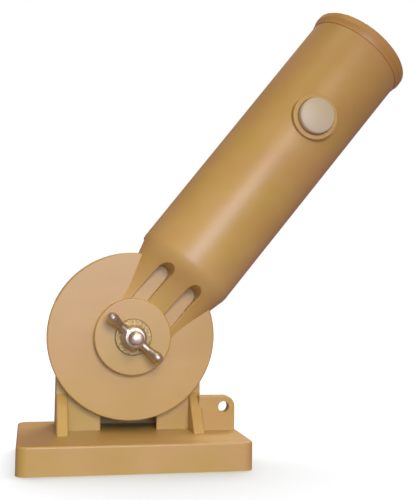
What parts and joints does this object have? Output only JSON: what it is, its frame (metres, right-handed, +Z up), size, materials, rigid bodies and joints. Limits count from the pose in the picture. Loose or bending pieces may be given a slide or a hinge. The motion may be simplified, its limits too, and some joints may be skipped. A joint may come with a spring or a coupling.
{
  "type": "rod holder",
  "caption": "Adjustable fishing rod holder: a lipped tube on a friction disc that tilts on a wing-nut pivot above a hollow pedestal and block base.",
  "frame": {"origin": "middle of the base's underside", "axes": "+Z up from the underside, +X to the side the tube leans to, +Y away from the wing nut's side"},
  "size_m": [0.2384, 0.087, 0.2796],
  "materials": {
    "tan_moulding": "semi-gloss moulded golden tan",
    "pale_moulding": "paler, duller moulding of the button",
    "black_rubber": "matt black rubber",
    "brass": "turned brass",
    "zinc_steel": "zinc-plated steel",
    "nickel_plate": "bright warm nickel plate",
    "yellow_zinc": "dull yellow zinc plate",
    "acetal": "natural acetal",
    "friction_fibre": "pressed cork-rubber friction sheet"
  },
  "bodies": {
    "base": {"mounting_base": "tan_moulding", "deck_pad": "black_rubber", "deck_inserts": "brass", "pedestal": "tan_moulding", "pedestal_screws": "zinc_steel", "friction_seat": "tan_moulding", "seat_screws": "zinc_steel", "friction_ring": "friction_fibre", "pivot_bolt": "nickel_plate", "neck_plate": "zinc_steel"},
    "arm": {"tube_arm": "tan_moulding", "hub_bushing": "acetal", "rim_collar": "tan_moulding", "butt_cushion": "black_rubber", "button_bezel": "tan_moulding", "button_spring": "zinc_steel"},
    "button": {"lock_button": "pale_moulding", "button_tip": "black_rubber"},
    "washers": {"flat_washer": "yellow_zinc", "spring_washer": "nickel_plate"},
    "nut": {"wing_nut": "nickel_plate"}
  },
  "joints": [
    {"name": "tube_tilt", "type": "hinge", "parent": "base", "child": "arm", "pos_m": [0, 0, 0.0725], "axis": [0, -1, 0], "range_deg": [-51.8, 128.2]},
    {"name": "button_press", "type": "slide", "parent": "arm", "child": "button", "axis": [0, 1, 0], "range_m": [0, 0.003], "stiffness_N_per_m": 600, "springref_m": -0.002, "deforming": ["button_spring"]},
    {"name": "washer_travel", "type": "slide", "parent": "base", "child": "washers", "axis": [0, -1, 0], "range_m": [0, 0.0025]},
    {"name": "nut_turn", "type": "hinge", "parent": "washers", "child": "nut", "pos_m": [0, -0.016, 0.0725], "axis": [0, -1, 0], "range_deg": [0, 720]}
  ],
  "couplings": [
    {"joint": "washer_travel", "follows": "nut_turn", "m_per_rad": 0.00019894}
  ]
}
